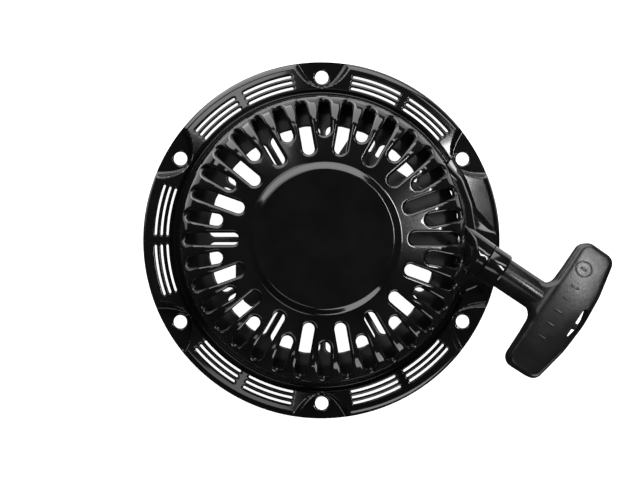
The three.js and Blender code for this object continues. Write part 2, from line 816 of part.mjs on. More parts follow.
place("housing", housing(), glossPaint);
place("rope_outlet", ropeOutlet(), glossPaint);
place("outlet_bush", outletBush(), nylon);
place("inner_guard", innerGuard(), glossPaint);
place("reel_post", reelPost(), zinc);
place("mainspring", mainspring(), springSteel);
place("reel", reel(), nylon);
place("rope_winding", ropeWinding(), ropeFibre);
place("reel_knot", reelKnot(), ropeFibre);
place("rope_run", ropeRun(), ropeFibre);
for (let i = 0; i < 2; i++) {
  const side = new THREE.Group();
  side.rotation.z = i * Math.PI;
  starter.add(side);
  const at = [PAWL_PIVOT_R, 0, 0];
  for (const [name, body, finish] of [
    [`ratchet_${i + 1}`, pawl(), zinc],
    [`ratchet_pin_${i + 1}`, ratchetPin(), zinc],
    [`ratchet_spring_${i + 1}`, pawlSpring(), springSteel],
  ]) {
    const mesh = new THREE.Mesh(geometryOf(body), finish);
    mesh.name = name;
    mesh.position.set(...at);
    side.add(mesh);
  }
}
place("ratchet_guide", ratchetGuide(), zinc);
place("friction_spring", frictionSpring(), springSteel);
place("thrust_washer", thrustWasher(), zinc);
place("centre_screw", centreScrew(), zinc);
place("grip", grip(), moulded);
place("grip_retainer", gripRetainer(), nylon);
place("grip_knot", alongRun(gripKnot()), ropeFibre);

export default starter;
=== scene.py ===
"""Recoil starter: the visible pieces, materials, floor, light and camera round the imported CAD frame.

Sizes are in millimetres up to mesh_piece(), which turns them into metres. The frame is the CAD's: +Z is the
reel axis and points out of the dome, z = 0 is the engine's mounting plane, and clock angles run clockwise
from +Y.
"""

import math

import bmesh
import bpy
import numpy as np
from mathutils import Matrix, Vector
from mathutils.geometry import delaunay_2d_cdt


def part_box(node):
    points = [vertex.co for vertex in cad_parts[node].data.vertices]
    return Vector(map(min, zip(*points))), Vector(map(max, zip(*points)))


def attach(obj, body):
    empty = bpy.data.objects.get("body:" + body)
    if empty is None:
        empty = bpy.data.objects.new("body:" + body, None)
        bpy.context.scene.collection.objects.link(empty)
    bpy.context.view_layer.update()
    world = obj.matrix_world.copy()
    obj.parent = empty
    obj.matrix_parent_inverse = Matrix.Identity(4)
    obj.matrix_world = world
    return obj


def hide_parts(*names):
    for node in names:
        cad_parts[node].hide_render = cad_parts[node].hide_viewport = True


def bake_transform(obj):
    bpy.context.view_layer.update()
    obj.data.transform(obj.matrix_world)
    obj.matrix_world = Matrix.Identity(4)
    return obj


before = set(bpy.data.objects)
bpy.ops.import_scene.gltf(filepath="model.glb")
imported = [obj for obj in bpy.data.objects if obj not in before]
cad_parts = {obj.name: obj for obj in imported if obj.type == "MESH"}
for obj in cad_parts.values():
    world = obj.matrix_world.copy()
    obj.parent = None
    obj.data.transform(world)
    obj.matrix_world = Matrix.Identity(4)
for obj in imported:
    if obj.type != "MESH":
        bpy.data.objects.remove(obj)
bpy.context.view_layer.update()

MM = 0.001
CAMERA_AT = (-0.0335, -0.0165, 1.1)
CAMERA_AIM = (-0.0029, -0.0026, 0.005)
VIEW_WIDTH = 0.4115  # metres across the picture at the flange
SENSOR = 36.0
FLOOR_HALF = 6.0
FLOOR_GAP = 0.0003  # the floor lies this far under the flange

SHEET = 1.25  # housing and guard sheet
DISC_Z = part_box("housing")[1].z / MM
FLANGE_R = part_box("housing")[1].x / MM
BOLT_R = 106.0
BOLT_HOLE_R = 4.3
SLOT_HALF = 3.65  # half the width of a cooling slot
SLOT_OUT_R = 88.4
SLOT_LONG_R = 53.0
SLOT_SHORT_R = 64.0
RIM_ROWS = (99.7, 103.5, 107.3)
RIM_SLOT_HALF = 0.68
RIM_GROUPS = ((10.7, 28.3), (31.7, 49.3))
OUTLET_SECTOR = 1

DRAW_ANGLE = math.radians(-33.7)
DRAW = np.array([math.cos(DRAW_ANGLE), math.sin(DRAW_ANGLE), 0.0])
SIDE = np.array([-DRAW[1], DRAW[0], 0.0])
UP = np.array([0.0, 0.0, 1.0])
ROPE_OFFSET = 45.0
ROPE_Z = 38.0
ROPE_R = 2.3
BOSS_START = 92.6
BOSS_END = 105.3
GRIP_CENTRE = 148.5


def linked(name, data):
    """A new object in the scene."""
    made = bpy.data.objects.new(name, data)
    bpy.context.scene.collection.objects.link(made)
    return made


# ---- Camera, light and floor ----
def look_at(obj, target):
    """Points obj's -Z at target, with its own up kept towards +Y."""
    back = (obj.location - Vector(target)).normalized()
    right = Vector((0, 1, 0)).cross(back).normalized()
    up = back.cross(right)
    obj.rotation_euler = Matrix((right, up, back)).transposed().to_euler()


def add_camera():
    data = bpy.data.cameras.new("camera")
    distance = (Vector(CAMERA_AT) - Vector(CAMERA_AIM)).length
    data.sensor_width = SENSOR
    data.lens = SENSOR * distance / VIEW_WIDTH
    data.clip_start = 0.01
    camera = linked("camera", data)
    camera.location = CAMERA_AT
    look_at(camera, CAMERA_AIM)
    bpy.context.scene.camera = camera


def softbox(name, place, target, width, height, power):
    data = bpy.data.lights.new(name, "AREA")
    data.shape = "RECTANGLE"
    data.size = width
    data.size_y = height
    data.energy = power
    light = linked(name, data)
    light.location = place
    look_at(light, target)


def add_stage():
    mesh = bpy.data.meshes.new("floor")
    corners = [(x * FLOOR_HALF, y * FLOOR_HALF, 0) for x, y in ((-1, -1), (1, -1), (1, 1), (-1, 1))]
    mesh.from_pydata(corners, [], [(0, 1, 2, 3)])
    floor = linked("floor", mesh)
    floor.location.z = -FLOOR_GAP
    material = bpy.data.materials.new("floor_pale")
    material.use_nodes = True
    shader = material.node_tree.nodes["Principled BSDF"]
    shader.inputs["Base Color"].default_value = (0.9, 0.9, 0.9, 1)
    shader.inputs["Roughness"].default_value = 0.9
    shader.inputs["Specular IOR Level"].default_value = 0.0
    shader.inputs["Emission Color"].default_value = (1, 1, 1, 1)
    shader.inputs["Emission Strength"].default_value = 1.0
    mesh.materials.append(material)
    floor.visible_glossy = False
    world = bpy.data.worlds.new("studio")
    world.use_nodes = True
    world.node_tree.nodes["Background"].inputs["Color"].default_value = (1, 1, 1, 1)
    world.node_tree.nodes["Background"].inputs["Strength"].default_value = 0.012
    bpy.context.scene.world = world
    bpy.context.scene.view_settings.view_transform = "Standard"


def add_lights():
    aim = (0.0, 0.0, 0.03)
    softbox("top_box", (-0.25, 1.35, 0.5), aim, 2.6, 1.7, 46)
    softbox("under_box", (-0.28, 1.05, -0.35), (-0.28, 1.05, 1.0), 3.2, 1.9, 20)
    softbox("upper_left_box", (-0.42, 0.6, 1.5), aim, 0.66, 0.34, 2.2)
    softbox("right_box", (0.562, 0.206, 1.5), aim, 0.11, 0.4, 4.0)
    softbox("right_soft_box", (0.72, 0.262, 1.5), aim, 0.3, 0.5, 0.12)
    softbox("upper_right_box", (0.85, 0.8, 1.4), (0.12, -0.02, 0.04), 0.6, 0.2, 2.3)
    softbox("lower_left_box", (-0.365, -0.632, 1.5), aim, 0.6, 0.34, 1.2)
    softbox("bottom_box", (0.6, -1.3, 0.62), aim, 1.5, 0.7, 11)


# ---- Materials ----
class Nodes:
    """Short calls for building a material's node tree."""

    def __init__(self, name):
        self.material = bpy.data.materials.new(name)
        self.material.use_nodes = True
        self.tree = self.material.node_tree
        self.shader = self.tree.nodes["Principled BSDF"]

    def add(self, kind, links=None, **settings):
        node = self.tree.nodes.new(kind)
        for key, value in settings.items():
            if key in node.inputs.keys():
                node.inputs[key].default_value = value
            else:
                setattr(node, key, value)
        for socket, source in (links or {}).items():
            self.tree.links.new(source, node.inputs[socket])
        return node

    def place(self):
        return self.add("ShaderNodeTexCoord").outputs["Object"]

    def noise(self, vector, scale, detail=3.0, rough=0.5):
        values = {"Scale": scale, "Detail": detail, "Roughness": rough}
        return self.add("ShaderNodeTexNoise", {"Vector": vector}, **values).outputs["Fac"]

    def ramp(self, factor, stops):
        node = self.add("ShaderNodeValToRGB", {"Fac": factor})
        elements = node.color_ramp.elements
        while len(elements) < len(stops):
            elements.new(0.5)
        for element, (at, value) in zip(elements, stops):
            element.position = at
            colour = value if isinstance(value, tuple) else (value, value, value)
            element.color = (*colour, 1)
        return node.outputs["Color"]

    def bump(self, height, strength, distance, normal=None):
        links = {"Height": height}
        if normal is not None:
            links["Normal"] = normal
        node = self.add("ShaderNodeBump", links, Strength=strength, Distance=distance)
        return node.outputs["Normal"]

    def set(self, **values):
        for key, value in values.items():
            self.shader.inputs[key.replace("_", " ")].default_value = value

    def drive(self, socket, source):
        self.tree.links.new(source, self.shader.inputs[socket])


def clouded(name, cloud, colours, roughness, grain, relief, **shader):
    """A material whose colour and roughness drift with a soft noise, over a fine bumpy grain."""
    n = Nodes(name)
    at = n.place()
    drift = n.noise(at, *cloud)
    n.drive("Base Color", n.ramp(drift, colours))
    n.drive("Roughness", n.ramp(drift, roughness))
    n.drive("Normal", n.bump(n.noise(at, *grain), *relief))
    n.set(**shader)
    return n.material


def gloss_paint():
    """Thick black stoved paint: mirror gloss with a faint orange peel and dust-fine roughness changes."""
    colours = [(0.35, (0.0045, 0.0045, 0.005)), (0.7, (0.0075, 0.0075, 0.008))]
    roughness = [(0.3, 0.08), (0.75, 0.13)]
    peel = (420.0, 1.5), (0.006, 0.0003)
    coat = {"IOR": 1.5, "Coat_Weight": 0.35, "Coat_Roughness": 0.04}
    return clouded("gloss_black_paint", (38.0, 4.0), colours, roughness, *peel, **coat)


def satin_paint():
    """The same black paint flatted to satin, as on the guard inside."""
    colours = [(0.3, (0.022, 0.022, 0.024)), (0.75, (0.034, 0.034, 0.036))]
    roughness = [(0.3, 0.3), (0.75, 0.4)]
    grain = (700.0, 2.0), (0.05, 0.0002)
    return clouded("satin_black_paint", (46.0, 4.0), colours, roughness, *grain, IOR=1.5)


def moulded_plastic(name, dark, light, roughness, grain):
    """Moulded black plastic with a fine spark-eroded grain and slightly polished patches."""
    colours = [(0.3, dark), (0.75, light)]
    patches = [(0.3, roughness - 0.05), (0.75, roughness + 0.06)]
    return clouded(name, (55.0, 4.0), colours, patches, (grain, 2.0, 0.6), (0.12, 0.00025), IOR=1.5)


def zinc_plate():
    """Bright zinc plate: fine spangle, brushed streaks and a little dull bloom."""
    colours = [(0.3, (0.46, 0.46, 0.45)), (0.7, (0.68, 0.68, 0.66))]
    bloom = [(0.3, 0.24), (0.7, 0.4)]
    streaks = (1400.0, 2.0), (0.1, 0.0002)
    return clouded("bright_zinc", (140.0, 5.0, 0.6), colours, bloom, *streaks, Metallic=1.0)


def spring_steel():
    """Blued spring strip with an oil film."""
    colours = [(0.3, (0.13, 0.14, 0.17)), (0.7, (0.27, 0.28, 0.31))]
    film = [(0.3, 0.2), (0.7, 0.34)]
    grain = (2200.0, 1.0), (0.08, 0.0001)
    return clouded("blued_spring_steel", (180.0, 4.0), colours, film, *grain, Metallic=1.0)


def braided_rope():
    """Diamond-braided nylon starter rope: black strands, with painted shade in the grooves of the braid and
    a painted highlight on its crowns.
    """
    n = Nodes("braided_rope")
    at = n.place()
    turn = n.add("ShaderNodeMapping", {"Vector": at}, vector_type="POINT")
    turn.inputs["Rotation"].default_value = (0, 0, -DRAW_ANGLE)
    waves = []
    for slant in (1.0, -1.0):
        lean = n.add("ShaderNodeMapping", {"Vector": turn.outputs["Vector"]}, vector_type="POINT")
        lean.inputs["Rotation"].default_value = (0, 0, slant * math.radians(48))
        wave = n.add("ShaderNodeTexWave", {"Vector": lean.outputs["Vector"]}, Scale=230.0, Distortion=0.3)
        waves.append(wave.outputs["Fac"])
    braid_relief_and_shade = n.add("ShaderNodeMath", {0: waves[0], 1: waves[1]}, operation="MAXIMUM").outputs[0]
    fibre = n.noise(at, 3200.0, 2.0)
    # the colour follows the braid: painted shade in its grooves and a painted highlight on its crowns
    n.drive("Base Color", n.ramp(braid_relief_and_shade, [(0.25, (0.008, 0.008, 0.008)), (0.8, (0.045, 0.045, 0.042))]))
    n.drive("Normal", n.bump(fibre, 0.25, 0.0002, n.bump(braid_relief_and_shade, 0.7, 0.0006)))
    n.set(Roughness=0.85, Sheen_Weight=0.05)
    return n.material


# ---- Meshes ----
def welded(verts, faces):
    """The same faces over vertices merged where they lie together."""
    keys = np.round(np.asarray(verts), 4)
    kept, index = np.unique(keys, axis=0, return_inverse=True)
    index = index.reshape(-1)
    out = []
    for face in faces:
        ring = [int(index[i]) for i in face]
        ring = [v for k, v in enumerate(ring) if v != ring[k - 1]]
        if len(ring) > 2:
            out.append(ring)
    return kept, out


def mesh_piece(name, parts, material, body, nodes=(), thick=0.0, sharp=math.radians(35)):
    """A welded piece from (verts, faces) parts in mm, riding on a body; thick makes it a sheet."""
    verts = []
    faces = []
    start = 0
    for part_verts, part_faces in parts:
        part_verts = np.asarray(part_verts, float).reshape(-1, 3)
        verts.append(part_verts)
        faces.extend([[i + start for i in face] for face in part_faces])
        start += len(part_verts)
    points, rings = welded(np.concatenate(verts), faces)
    mesh = bpy.data.meshes.new(name)
    mesh.from_pydata((points * MM).tolist(), [], rings)
    mesh.validate()
    piece = linked(name, mesh)
    work = bmesh.new()
    work.from_mesh(mesh)
    bmesh.ops.recalc_face_normals(work, faces=work.faces)
    if thick:
        highest = max(work.faces, key=lambda f: f.calc_center_median().z)
        if highest.normal.z < 0:
            bmesh.ops.reverse_faces(work, faces=work.faces)
    work.to_mesh(mesh)
    work.free()
    if thick:
        solidify = piece.modifiers.new("sheet", "SOLIDIFY")
        solidify.thickness = thick * MM
        solidify.offset = -1
        apply_modifiers(piece)
        for vertex in piece.data.vertices:
            vertex.co.z = max(vertex.co.z, 0.0)  # the rim's rolled edge stops at the mounting plane
    finish_mesh(piece, material, sharp)
    if body:
        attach(piece, body)
    if nodes:
        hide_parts(*nodes)
    return piece


def apply_modifiers(piece):
    graph = bpy.context.evaluated_depsgraph_get()
    made = bpy.data.meshes.new_from_object(piece.evaluated_get(graph))
    piece.modifiers.clear()
    piece.data = made


def finish_mesh(piece, material, sharp):
    """Smooth faces with sharp edges over an angle, and one material."""
    mesh = piece.data
    mesh.materials.clear()
    mesh.materials.append(material)
    mesh.polygons.foreach_set("use_smooth", [True] * len(mesh.polygons))
    mesh.set_sharp_from_angle(angle=sharp)


def grid_faces(rows, columns, closed=True):
    """Quads between the rows of a grid of vertices, which closes on itself across unless told not to."""
    faces = []
    across = columns if closed else columns - 1
    for i in range(rows - 1):
        for j in range(across):
            k = (j + 1) % columns
            faces.append([i * columns + j, (i + 1) * columns + j, (i + 1) * columns + k, i * columns + k])
    return faces


def rounded(points, step=0.12):
    """Points along a polyline whose corners, given as (x, y, radius), are rounded by arcs."""
    line = []
    last = len(points) - 1
    for i, (x, y, radius) in enumerate(points):
        here = np.array([x, y])
        if radius == 0 or i in (0, last):
            line.append(here)
            continue
        before = np.array(points[i - 1][:2]) - here
        after = np.array(points[i + 1][:2]) - here
        before /= np.linalg.norm(before)
        after /= np.linalg.norm(after)
        half = math.acos(float(np.clip(before @ after, -1, 1))) / 2
        tangent = radius / math.tan(half)
        centre = here + (before + after) / np.linalg.norm(before + after) * radius / math.sin(half)
        a = here + before * tangent - centre
        b = here + after * tangent - centre
        sweep = math.atan2(a[0] * b[1] - a[1] * b[0], a @ b)
        count = max(3, int(abs(sweep) * radius / step))
        for k in range(count + 1):
            angle = sweep * k / count
            c, s = math.cos(angle), math.sin(angle)
            line.append(centre + np.array([c * a[0] - s * a[1], s * a[0] + c * a[1]]))
    return np.array(line)


def lathe(line, segments=96):
    """Surface of revolution about +Z of an (r, z) line; points on the axis close it."""
    angle = np.arange(segments) * 2 * math.pi / segments
    r, z = np.asarray(line, float).T[:, :, None]
    verts = np.stack([r * np.cos(angle), r * np.sin(angle), z + 0 * angle], -1).reshape(-1, 3)
    return verts, grid_faces(len(line), segments)


def closed_lathe(corners, segments=96, step=0.25):
    """A turned solid from (r, z, radius) corners that start and end on the axis, or close on themselves."""
    on_axis = corners[0][0] == 0 and corners[-1][0] == 0
    if on_axis:
        return lathe(rounded(corners, step), segments)
    middle = tuple((np.array(corners[0][:2]) + np.array(corners[-1][:2])) / 2)
    line = rounded([(*middle, 0), *corners, (*middle, 0)], step)
    return lathe(line, segments)


def turned_about(part, matrix, origin):
    """A part made in its own axes, laid on the rows of matrix from origin."""
    verts, faces = part
    return np.asarray(verts) @ np.asarray(matrix) + np.asarray(origin), faces


def along_run(part):
    """A part made about +Z, laid along the rope's run with z = 0 nearest the reel axis."""
    return turned_about(part, [SIDE, UP, DRAW], SIDE * ROPE_OFFSET + UP * ROPE_Z)


# ---- Housing ----
HOUSING_CORNERS = [
    (FLANGE_R, 0.2, 0),
    (115.3, 8.1, 4.6),
    (98.2, 10.2, 1.0),
    (95.4, 5.7, 1.4),
    (93.2, 11.0, 6.0),
    (88.3, 55.05, 20.4),
    (47.0, 58.99, 2.4),
    (43.3, DISC_Z, 2.4),
    (0.0, DISC_Z, 0),
]
WALL_FOOT_R = 93.0
SLOT_ZONE_OUT_R = 90.42
SLOT_ZONE_IN_R = 48.9
SHOULDER_R = 88.8  # the outlet's pressing starts here, outside the slots
SHOULDER_Z = 43.2
SPOUT_RISE = 1.05  # how steeply the spout rises from the shoulder to the boss
SPOUT_SUNK = 1.2  # and how deep it lies under the shoulder inside the slots' end


class Profile:
    """The housing's outer face: height and inward normal by radius or by length along it from the rim."""

    def __init__(self, corners):
        line = rounded(corners, 0.06)
        length = np.concatenate([[0], np.cumsum(np.linalg.norm(np.diff(line, axis=0), axis=1))])
        even = np.arange(0, length[-1], 0.05)
        self.u = even
        self.r = np.interp(even, length, line[:, 0])
        self.z = np.interp(even, length, line[:, 1])
        dr, dz = np.gradient(self.r), np.gradient(self.z)
        size = np.hypot(dr, dz)
        self.nr, self.nz = -dz / size, dr / size

    def u_at(self, r):
        return np.interp(-np.asarray(r), -self.r, self.u)

    def at(self, u):
        return [np.interp(u, self.u, a) for a in (self.r, self.z, self.nr, self.nz)]


profile = Profile(HOUSING_CORNERS)


def smoothstep(x, low, high):
    t = np.clip((x - low) / (high - low), 0, 1)
    return t * t * (3 - 2 * t)


def soft_min(a, b, width):
    """The smaller of two values, blended over width where they are near each other."""
    h = np.clip(0.5 + (b - a) / (2 * width), 0, 1)
    return b + (a - b) * h - width * h * (1 - h)


def polygon_distance(x, y, corners):
    """Signed distance to a polygon, below zero inside."""
    corners = np.asarray(corners, float)
    nearest = np.full(np.shape(x), np.inf)
    inside = np.zeros(np.shape(x), bool)
    for (ax, ay), (bx, by) in zip(corners, np.roll(corners, -1, axis=0)):
        ex, ey = bx - ax, by - ay
        t = np.clip(((x - ax) * ex + (y - ay) * ey) / (ex * ex + ey * ey), 0, 1)
        nearest = np.minimum(nearest, np.hypot(x - ax - t * ex, y - ay - t * ey))
        crosses = (ay > y) != (by > y)
        with np.errstate(divide="ignore", invalid="ignore"):
            inside ^= crosses & (x < ex * (y - ay) / (ey if ey else np.inf) + ax)
    return np.where(inside, -nearest, nearest)


def clock_place(r, degrees):
    angle = np.radians(90 - degrees)
    return r * np.cos(angle), r * np.sin(angle)


EAR_FLOOR = (99.6, 0.064)  # the pocket's floor lies outside y = a + b x^2, with the bolt hole on the y axis
EAR_TOP = (97.9, 0.0325)  # and the top of its wall follows the same kind of curve
EAR_FLOOR_Z = 1.6
EAR_RISE = 9.6
EAR_REACH_R = 96.5  # the pockets don't reach further in
EAR_BLEND = 0.55
NO_EAR = 99.0  # a height over everything, where there is no pocket


def ear_height(x, y):
    """Height of the sloped pocket round a bolt hole at 12 o'clock."""
    inside = [(y - a - b * x * x) / np.hypot(1, 2 * b * x) for a, b in (EAR_FLOOR, EAR_TOP)]
    floor, top = np.maximum(-inside[0], 0), np.maximum(inside[1], 0)
    t = floor / np.maximum(floor + top, 1e-6)
    return EAR_FLOOR_Z + EAR_RISE * smoothstep(t, 0.0, 1.0)


def sector_angle(degrees):
    """Clock angle from the nearest bolt hole."""
    return degrees - np.round(degrees / 60) * 60


def flange_surface(r, degrees, depth):
    """The flange with its ear pockets: depth pushes a point down, as round a pressed edge."""
    _, z, _, _ = profile.at(profile.u_at(r))
    ear = ear_height(*clock_place(r, sector_angle(degrees)))
    z = soft_min(z, np.where(r > EAR_REACH_R, ear, NO_EAR), EAR_BLEND)
    x, y = clock_place(r, degrees)
    return np.stack([x, y, z - depth], -1)


def flange_holes(r, degrees):
    """Distance to the nearest hole in the flange: a bolt hole or an arc slot, below zero inside."""
    x, y = clock_place(r, sector_angle(degrees))
    nearest = np.hypot(x, y - BOLT_R) - BOLT_HOLE_R
    past = np.mod(degrees, 60)
    sector = np.floor(np.mod(degrees, 360) / 60).astype(int)
    for low, high in RIM_GROUPS:
        for row in RIM_ROWS:
            along = np.radians(np.abs(past - (low + high) / 2)) * row
            half = math.radians(high - low) / 2 * row - RIM_SLOT_HALF
            gap = np.hypot(np.maximum(along - half, 0), r - row) - RIM_SLOT_HALF
            nearest = np.where(sector == OUTLET_SECTOR, nearest, np.minimum(nearest, gap))
    return nearest


def roll_depth(distance, radius):
    """How far a pressed edge has dropped at a distance outside the hole."""
    s = np.clip(1 - distance / radius, 0, 1)
    return radius * (1 - np.sqrt(1 - s * s))


def perforated_ring(radii, degrees, holes, surface, roll):
    """A ring of sheet over radii and clock angles, with its grid snapped to the edges of the holes."""
    r, a = np.meshgrid(radii, degrees, indexing="ij")
    gap = holes(r, a)
    moved = np.ones(r.shape)
    new_r, new_a = r.copy(), a.copy()
    for axis, (here, there) in enumerate(((gap[:-1], gap[1:]), (gap, np.roll(gap, -1, axis=1)))):
        crossing = (here < 0) != (there < 0)
        share = np.where(crossing, here / np.where(crossing, here - there, 1), 0)
        for i, j in zip(*np.nonzero(crossing)):
            t = share[i, j]
            i2, j2 = (i + 1, j) if axis == 0 else (i, (j + 1) % r.shape[1])
            step = (a[i2, j2] - a[i, j] + 180) % 360 - 180
            nearer = (i, j) if t < 0.5 else (i2, j2)
            if min(t, 1 - t) < moved[nearer]:
                moved[nearer] = min(t, 1 - t)
                new_r[nearer] = r[i, j] + t * (r[i2, j2] - r[i, j])
                new_a[nearer] = a[i, j] + t * step
    snapped = moved < 1.0
    gap = np.where(snapped, 0.0, holes(new_r, new_a))
    kind = np.where(snapped, 0, np.where(gap < 0, -1, 1))
    verts = surface(new_r, new_a, roll_depth(np.maximum(gap, 0), roll)).reshape(-1, 3)
    columns = r.shape[1]
    flat = kind.reshape(-1)
    faces = []
    for face in grid_faces(r.shape[0], columns):
        left = [i for i in face if flat[i] >= 0]
        if len(left) > 2 and any(flat[i] == 1 for i in left):
            faces.append(left)
    return verts, faces


def spaced(low, high, step):
    count = max(1, int(round(abs(high - low) / step)))
    return np.linspace(low, high, count + 1)


def flange_radii():
    """Rows from the rim to the wall's foot, evenly spaced along the profile and set on the slots' edges."""
    lengths = spaced(0, float(profile.u_at(WALL_FOOT_R)), 0.5)
    radii = list(profile.at(lengths)[0])
    fixed = []
    for row in RIM_ROWS:
        for side in (-1, 1):
            for off in (0.0, 0.1, 0.3, 0.65, 1.15):
                fixed.append(row + side * (RIM_SLOT_HALF + off))
        fixed.append(row)
    keep = [r for r in radii if min(abs(r - f) for f in fixed) > 0.17]
    keep[0], keep[-1] = FLANGE_R, WALL_FOOT_R
    return sorted(keep + fixed, reverse=True)


SLOT_COUNT = 36
COLUMNS_PER_SLOT = 30
RIM_COLUMNS = SLOT_COUNT * COLUMNS_PER_SLOT
DISC_COLUMNS = SLOT_COUNT // 2 * 22
INNER_COLUMNS = {True: 16, False: 6}  # of those 22 at the inner side of a long and a short slot's cell
SLOT_ROLL = 1.9  # radius of the pressed edge at a slot's inner end
SLOT_ROLL_MORE = 0.3  # and how much more it is at the outer end
DISC_FLAT_R = 41.0
RIM_ROLL = 1.15  # radius of the pressed edge round the flange's holes
ROPE_ROOM = 8.5  # the bowl's wall is open this far from the rope's line


def cell_half_angle(r, is_long):
    """Half the angle of the cell of sheet round one slot, in degrees."""
    spread = 25 / 11 * (1 - smoothstep(r, 59, 67))
    return 5 + spread if is_long else 5 - spread


def slot_cell(is_long):
    """The sheet round one slot at 12 o'clock, in rings that follow the slot's pressed edge."""
    u_out = float(profile.u_at(SLOT_ZONE_OUT_R))
    u_in = float(profile.u_at(SLOT_ZONE_IN_R))
    inner_r = (SLOT_LONG_R if is_long else SLOT_SHORT_R) + SLOT_HALF
    outer_r = SLOT_OUT_R - SLOT_HALF
    centre_out, centre_in = float(profile.u_at(outer_r)), float(profile.u_at(inner_r))
    stretch = (centre_out - float(profile.u_at(SLOT_OUT_R))) / SLOT_HALF
    sides = spaced(u_out, u_in, 1.0)
    radius = profile.at(sides)[0]
    half = np.radians(cell_half_angle(radius, is_long))
    edge_x = radius * np.sin(half)
    right = list(zip(sides, edge_x))
    left = [(u, -x) for u, x in right[::-1]]

    def end_row(u, columns, sign):
        r = float(profile.at(u)[0])
        angle = math.radians(float(cell_half_angle(r, is_long)))
        turns = np.linspace(-angle, angle, columns + 1)[1:-1] * sign
        return [(u, r * math.sin(t)) for t in turns]

    border = right + end_row(u_in, INNER_COLUMNS[is_long], -1) + left + end_row(u_out, COLUMNS_PER_SLOT, 1)
    edge = []
    for u, x in border:
        if centre_out <= u <= centre_in:
            edge.append((u, math.copysign(SLOT_HALF, x)))
            continue
        outer = u < centre_out
        turn = math.atan2(x, (centre_out - u) / stretch if outer else u - centre_in)
        along = SLOT_HALF * math.cos(turn)
        across = SLOT_HALF * math.sin(turn)
        r = math.hypot(outer_r + along if outer else inner_r - along, across)
        edge.append((float(profile.u_at(r)), across))
    border, edge = np.array(border), np.array(edge)
    away = border - edge
    reach = np.linalg.norm(away, axis=1)
    away /= reach[:, None]
    edge_r = profile.at(edge[:, 0])[0]
    roll = np.minimum(SLOT_ROLL + SLOT_ROLL_MORE * smoothstep(edge_r, 56, 84), 0.92 * reach)

    rings = [(np.zeros(len(edge)), roll + lip) for lip in (0.9, 0.45)]
    for alpha in np.radians([90, 78, 66, 54, 42, 30, 18, 8, 0]):
        rings.append((roll * (1 - math.sin(alpha)), roll * (1 - math.cos(alpha))))
    for share in (0.15, 0.35, 0.6, 0.8, 1.0):
        rings.append((roll + (reach - roll) * share, np.zeros(len(edge))))
    verts = []
    for off, depth in rings:
        u, x = (edge + away * off[:, None]).T
        r, z, nr, nz = profile.at(u)
        angle = np.arcsin(np.clip(x / r, -1, 1))
        rr, zz = r + nr * depth, z + nz * depth
        verts.append(np.stack([rr * np.sin(angle), rr * np.cos(angle), zz], -1))
    return np.concatenate(verts), grid_faces(len(rings), len(edge))


def rotated_clock(part, degrees):
    """A part turned clockwise about the reel axis."""
    verts, faces = part
    a = -math.radians(degrees)
    c, s = math.cos(a), math.sin(a)
    turn = np.array([[c, s, 0], [-s, c, 0], [0, 0, 1]])
    return np.asarray(verts) @ turn, faces


def profile_ring(u_values, degrees):
    """A ring of the housing's own surface between lengths along its profile."""
    r, z, _, _ = profile.at(np.asarray(u_values))
    x, y = clock_place(r[:, None], np.asarray(degrees)[None, :])
    verts = np.stack([x, y, z[:, None] + 0 * x], -1).reshape(-1, 3)
    return verts, grid_faces(len(r), len(degrees))


def run_distance(points):
    """Distance along the rope's run from the reel axis, and distance from its line."""
    points = np.asarray(points, float)
    along = points @ DRAW
    return along, np.hypot(points @ SIDE - ROPE_OFFSET, points[:, 2] - ROPE_Z)


def opened_for_rope(part):
    """The bowl's sheet without the faces that stand in the rope's way."""
    verts, faces = part
    along, away = run_distance(verts)
    outside = np.hypot(verts[:, 0], verts[:, 1]) > SHOULDER_R + 0.4
    blocked = (away < ROPE_ROOM) & (along > 0) & outside
    return verts, [face for face in faces if not all(blocked[i] for i in face)]


def build_housing(paint):
    outer_columns = np.arange(RIM_COLUMNS) * 360 / RIM_COLUMNS
    parts = [perforated_ring(flange_radii(), outer_columns, flange_holes, flange_surface, RIM_ROLL)]
    u_foot, u_slots = float(profile.u_at(WALL_FOOT_R)), float(profile.u_at(SLOT_ZONE_OUT_R))
    parts.append(opened_for_rope(profile_ring(spaced(u_foot, u_slots, 1.6), outer_columns)))
    for i in range(SLOT_COUNT):
        parts.append(opened_for_rope(rotated_clock(slot_cell(bool(i % 2)), i * 360 / SLOT_COUNT)))
    inner_columns = (np.arange(DISC_COLUMNS) - INNER_COLUMNS[False] / 2) * 360 / DISC_COLUMNS
    u_in, u_flat = float(profile.u_at(SLOT_ZONE_IN_R)), float(profile.u_at(DISC_FLAT_R))
    rows = [*spaced(u_in, u_flat, 0.45), *spaced(u_flat, profile.u[-1], 8.0)[1:]]
    verts, faces = profile_ring(rows, inner_columns)
    parts.append((verts, faces))
    parts.append((verts[-DISC_COLUMNS:], [list(range(DISC_COLUMNS))]))
    mesh_piece("housing_pressing", parts, paint, "housing", ["housing"], thick=SHEET)


# ---- Rope outlet ----
BULGE_FOOT = [
    (84.0, 53.0, 0), (92.3, 39.0, 12), (98.8, 20.8, 7), (112.6, 4.6, 4),
    (113.4, -4.0, 6), (108.4, -22.0, 8), (99.5, -30.0, 6), (84.0, -36.0, 0),
]
BULGE_TOP = [
    (78.0, 47.0, 0), (87.0, 38.0, 12), (93.0, 22.0, 20), (94.5, 0.0, 30),
    (92.5, -16.0, 14), (87.0, -27.0, 6), (78.0, -33.0, 0),
]
BULGE_H = 42.0


def even_line(line, step):
    """The same line with points an even step apart."""
    line = np.asarray(line, float)
    length = np.concatenate([[0], np.cumsum(np.linalg.norm(np.diff(line, axis=0), axis=1))])
    at = spaced(0, length[-1], step)
    return np.stack([np.interp(at, length, line[:, k]) for k in range(line.shape[1])], -1)


def bend(a, corner, b, steps):
    """Points along a soft bend from a to b past a corner."""
    t = np.linspace(0, 1, steps + 1)[:, None]
    return (1 - t) ** 2 * a + 2 * t * (1 - t) * corner + t**2 * b


